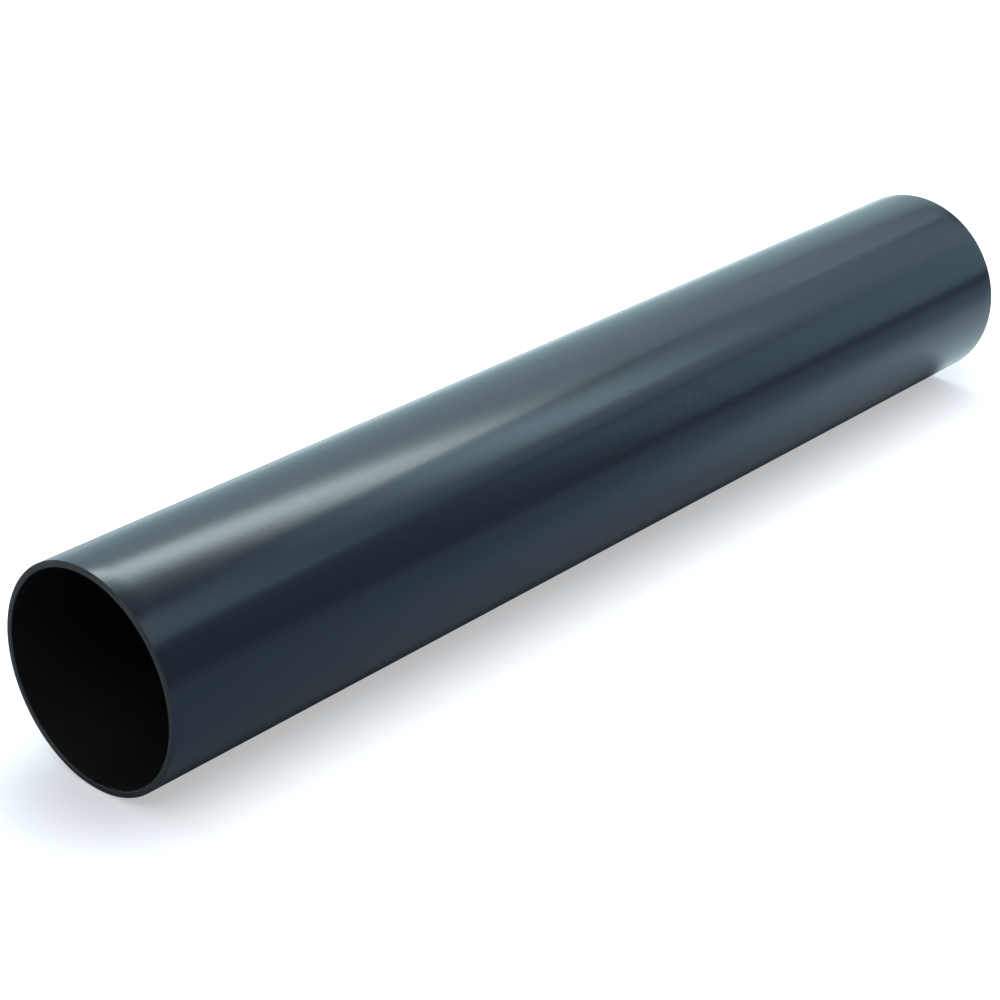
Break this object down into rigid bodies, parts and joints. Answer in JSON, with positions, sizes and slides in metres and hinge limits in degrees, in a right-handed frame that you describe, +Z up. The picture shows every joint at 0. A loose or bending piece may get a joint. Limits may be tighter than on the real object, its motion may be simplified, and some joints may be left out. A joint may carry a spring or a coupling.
{
  "type": "plastic downpipe",
  "caption": "Straight plain-ended length of round dark grey plastic downpipe with a thin wall and square sawn ends, carries rainwater down from a gutter.",
  "frame": {"origin": "on the floor line under the middle of the pipe, the centre of the bounding box's bottom face", "axes": "+X along the pipe's axis, +Y across it, +Z up; the pipe lies on its side"},
  "size_m": [0.4, 0.068, 0.068],
  "materials": {
    "pipe_plastic": null
  },
  "bodies": {
    "root": {"downpipe": "pipe_plastic"}
  },
  "joints": []
}
